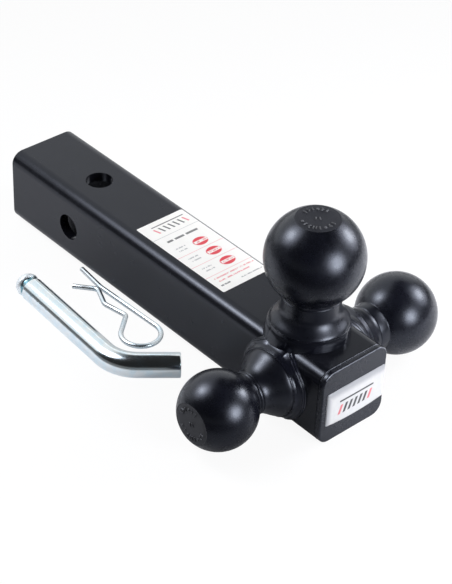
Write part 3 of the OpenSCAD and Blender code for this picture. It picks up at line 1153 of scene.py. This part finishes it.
def build_clip():
    r = 1.6
    segs = [(21, 9, 30), (49.5, -232, 12.3), (14.5, 60, 3), (14.5, -34, 5),
            (12.0, 64, 4), (14, 0, 0)]
    total = sum(s[0] + abs(math.radians(s[1])) * s[2] for s in segs)
    lead = [0.0, 0.1, 0.22, 0.4, 2.0, 8.0, 15.0]
    pts = path_points((15.0, -26.6), -6.7, segs, 3.0, lead)
    x, y, a, s = pts.pop()
    for q in (0.4, 0.22, 0.1, 0.0):
        pts.append((x - q * math.cos(a), y - q * math.sin(a), a, s - q))

    def radius_at(s):
        e = min(s, total - s)
        if e < 0.4:
            return r - 0.4 + math.sqrt(max(0.0, 0.16 - (0.4 - e) ** 2))
        return r

    sweep("r_clip_wire", pts, BENCH + r, radius_at, 40, M_WIRE, "clip",
          "r_clip")


build_pin()
build_clip()

# --------------------------------------------------- CAD pieces that stay
for node, mat in (("shank_tube", M_TUBE),):
    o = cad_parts[node]
    o.data.materials.clear()
    o.data.materials.append(mat)

# ------------------------------------------------------------------- stage
def floor_material():
    """Pale floor: near white to the camera; to everything that reflects it,
    a white surface with painted shade laid on it."""
    k = Nodes("stage_floor")
    d = k.add("ShaderNodeBsdfDiffuse")
    grain = k.noise(40.0, 3.0, 0.5)
    pale = k.mix(grain, (0.84, 0.84, 0.85), (0.88, 0.88, 0.885))
    k.link(pale, d.inputs[0])
    # painted shade: the floor seen in reflections darkens towards the viewer's
    # side
    x, y, z = k.xyz()
    ahead = k.math("SUBTRACT", k.math("MULTIPLY", x, math.cos(math.radians(43))),
                   k.math("MULTIPLY", y, math.sin(math.radians(43))))
    far = k.add("ShaderNodeBsdfDiffuse")
    painted_shade = k.math("ADD", k.remap(ahead, 158.0, 228.0, 0.0, 0.66, True),
                 k.remap(ahead, 228.0, 330.0, 0.0, 0.28, True))
    # and painted shade for the tube's half shade along its near side
    painted_side_shade = k.math("MULTIPLY", k.remap(y, -78.0, -60.0, 0.0, 1.0, True),
                    k.remap(y, -22.0, -10.0, 1.0, 0.0, True))
    painted_side_shade = k.math("MULTIPLY", painted_side_shade, k.remap(ahead, 8.0, 60.0, 0.0, 0.34,
                                                True))
    painted_shade = k.math("MAXIMUM", painted_shade, painted_side_shade)
    k.link(k.mix(painted_shade, pale, (0.0, 0.0, 0.0)), far.inputs[0])
    e = k.add("ShaderNodeEmission")
    e.inputs[0].default_value = (1, 1, 1, 1)
    e.inputs[1].default_value = 1.02
    m = k.add("ShaderNodeMixShader")
    m.inputs[0].default_value = 0.90
    k.link(d.outputs[0], m.inputs[1])
    k.link(e.outputs[0], m.inputs[2])
    path = k.add("ShaderNodeLightPath")
    pick = k.add("ShaderNodeMixShader")
    k.link(path.outputs["Is Camera Ray"], pick.inputs[0])
    k.link(far.outputs[0], pick.inputs[1])
    k.link(m.outputs[0], pick.inputs[2])
    k.link(pick.outputs[0], k.out.inputs["Surface"])
    return k.m


me = bpy.data.meshes.new("stage_floor")
S = 6.0
me.from_pydata([(-S, -S, BENCH * MM), (S, -S, BENCH * MM),
                (S, S, BENCH * MM), (-S, S, BENCH * MM)], [], [(0, 1, 2, 3)])
me.materials.append(floor_material())
floor = bpy.data.objects.new("stage_floor", me)
bpy.context.scene.collection.objects.link(floor)


def softbox(name, at, aim, size, radiance, colour=(1, 1, 1)):
    ld = bpy.data.lights.new(name, "AREA")
    ld.shape = "DISK"
    ld.size = size
    area = math.pi * size * size / 4
    ld.energy = radiance * math.pi * area
    ld.color = colour
    ob = bpy.data.objects.new(name, ld)
    ob.location = at
    ob.rotation_mode = "QUATERNION"
    ob.rotation_quaternion = (Vector(aim) - Vector(at)).to_track_quat("-Z", "Y")
    ob.visible_camera = False
    bpy.context.scene.collection.objects.link(ob)
    return ob


aim = (0.16, 0.0, 0.02)
for nm, at, kx, sz in (("key_left", (-0.140, -0.235, 0.425), 0.97, 0.17),
                       ("key_far", (0.335, 0.419, 0.285), 1.0, 0.18),
                       ("key_front", (0.746, 0.040, 0.222), 1.0, 0.25)):
    softbox(nm + "_wide", at, aim, sz + 0.21, 3.1 * kx, (0.90, 0.91, 1.0))
    softbox(nm + "_core", Vector(at) * 0.995, aim, sz, 11.5 * kx,
            (0.97, 0.985, 1.0))
softbox("bridge_right", (0.575, 0.270, 0.300), aim, 0.40, 0.6,
        (0.97, 0.985, 1.0))

# the loose pin and clip neither shade the floor nor show in the paint
for nm in ("hitch_pin_rod", "r_clip_wire"):
    bpy.data.objects[nm].visible_glossy = False
    bpy.data.objects[nm].visible_shadow = False

# a low strip of light in front that only the side weld beads pick up
beads = bpy.data.collections.new("bead_receivers")
for nm in ("weld_medium_bead", "weld_small_bead"):
    beads.objects.link(bpy.data.objects[nm])
strip_light = softbox("bead_strip", (0.57, -0.27, 0.075), (0.19, -0.03, 0.0),
                      0.20, 9.0, (0.97, 0.985, 1.0))
strip_light.data.shape = "RECTANGLE"
strip_light.data.size, strip_light.data.size_y = 0.09, 0.19
strip_light.data.energy = 10.0 * math.pi * 0.09 * 0.19
strip_light.light_linking.receiver_collection = beads

# two white cards between the tube and the loose hardware; they light only it
cards = bpy.data.collections.new("card_receivers")
for nm in ("hitch_pin_rod", "r_clip_wire"):
    cards.objects.link(bpy.data.objects[nm])
for nm, xa, xb, za, zb in (("card_rear", -70.0, 52.0, -4.0, 26.0),
                           ("card_front", 52.0, 150.0, -23.0, 26.0)):
    ld = bpy.data.lights.new(nm, "AREA")
    ld.shape = "RECTANGLE"
    ld.size, ld.size_y = (xb - xa) * MM, (zb - za) * MM
    ld.energy = 0.62 * math.pi * ld.size * ld.size_y
    ob = bpy.data.objects.new(nm, ld)
    ob.matrix_world = Matrix(((1, 0, 0, (xa + xb) / 2 * MM),
                              (0, 0, 1, (-HALF - 0.6) * MM),
                              (0, -1, 0, (za + zb) / 2 * MM),
                              (0, 0, 0, 1)))
    # an area light shines down its own -Z; turn it to face -Y
    ob.visible_camera = False
    bpy.context.scene.collection.objects.link(ob)
    ob.light_linking.receiver_collection = cards

# studio surround: pale behind the object, dark above and behind the camera
world = bpy.data.worlds.new("studio")
bpy.context.scene.world = world
world.use_nodes = True
wt = world.node_tree
wt.nodes.clear()


def wn(kind, **p):
    n = wt.nodes.new(kind)
    for a, b in p.items():
        setattr(n, a, b)
    return n


def wput(s, v):
    if isinstance(v, bpy.types.NodeSocket):
        wt.links.new(v, s)
    else:
        s.default_value = v


def wmath(op, a, b=None, clamp=False):
    n = wn("ShaderNodeMath", operation=op, use_clamp=clamp)
    wput(n.inputs[0], a)
    if b is not None:
        wput(n.inputs[1], b)
    return n.outputs[0]


def wmap(x, a, b, c, d):
    n = wn("ShaderNodeMapRange", clamp=True)
    n.interpolation_type = "SMOOTHSTEP"
    wput(n.inputs["Value"], x)
    for k_, v_ in (("From Min", a), ("From Max", b), ("To Min", c), ("To Max", d)):
        n.inputs[k_].default_value = v_
    return n.outputs["Result"]


geo = wn("ShaderNodeTexCoord")
sep = wn("ShaderNodeSeparateXYZ")
wt.links.new(geo.outputs["Generated"], sep.inputs[0])
gx, gy, gz = sep.outputs
# bearing off the middle of the pale wall, and height, both in degrees
C, SN = math.cos(math.radians(170)), math.sin(math.radians(170))
ahead = wmath("ADD", wmath("MULTIPLY", gx, C), wmath("MULTIPLY", gy, SN))
aside = wmath("ADD", wmath("MULTIPLY", gx, -SN), wmath("MULTIPLY", gy, C))
off = wmath("MULTIPLY", wmath("ARCTAN2", aside, ahead), 57.29578)
el = wmath("MULTIPLY", wmath("ARCSINE", gz), 57.29578)
hor = wmath("MULTIPLY", wmap(off, -80.0, -52.0, 0.0, 1.0),
            wmap(off, 50.0, 64.0, 1.0, 0.0))
top_edge = wmath("MINIMUM", 66.0, wmath(
    "MAXIMUM", 38.0, wmath("ADD", 42.0, wmath(
        "MULTIPLY", wmath("ADD", off, 31.0), 0.9))))
upper = wmap(wmath("SUBTRACT", el, top_edge), -2.5, 3.5, 1.0, 0.0)
low_edge = wmath("MULTIPLY", wmath("SUBTRACT", off, 30.0), 0.95)
low_edge = wmath("MINIMUM", 40.0, wmath("MAXIMUM", -8.0, low_edge))
lower = wmap(wmath("SUBTRACT", el, low_edge), -4.0, 3.0, 0.0, 1.0)
panel = wmath("MULTIPLY", wmath("MULTIPLY", hor, upper), lower)
strip = wmap(el, 7.0, 20.0, 0.17, 0.0)
lum = wmath("ADD", wmath("MULTIPLY", panel, 0.95), strip)
lum = wmath("ADD", lum, 0.015)
bg = wn("ShaderNodeBackground")
bg.inputs[0].default_value = (0.96, 0.98, 1.0, 1)
wt.links.new(lum, bg.inputs[1])
cam_bg = wn("ShaderNodeBackground")
cam_bg.inputs[0].default_value = (1, 1, 1, 1)
cam_bg.inputs[1].default_value = 1.0
lp = wn("ShaderNodeLightPath")
mixw = wn("ShaderNodeMixShader")
wt.links.new(lp.outputs["Is Camera Ray"], mixw.inputs[0])
wt.links.new(bg.outputs[0], mixw.inputs[1])
wt.links.new(cam_bg.outputs[0], mixw.inputs[2])
wo = wn("ShaderNodeOutputWorld")
wt.links.new(mixw.outputs[0], wo.inputs["Surface"])

# ------------------------------------------------------------------ camera
cd = bpy.data.cameras.new("view")
cd.sensor_fit = "AUTO"
cd.sensor_width = 36.0
cd.lens = 1869.5 * 36.0 / 584.0
cd.clip_start, cd.clip_end = 0.02, 50.0
cam = bpy.data.objects.new("view", cd)
right = Vector((0.66145, 0.74907, 0.03711))
down = Vector((0.47128, -0.37664, -0.79752))
fwd = Vector((-0.58342, 0.54501, -0.60215))
m = Matrix.Identity(4)
for i in range(3):
    m[i][0], m[i][1], m[i][2] = right[i], -down[i], -fwd[i]
m[0][3], m[1][3], m[2][3] = 0.7819, -0.6157, 0.6889
cam.matrix_world = m
bpy.context.scene.collection.objects.link(cam)
bpy.context.scene.camera = cam
bpy.context.scene.view_settings.view_transform = "Standard"
bpy.context.scene.view_settings.look = "None"
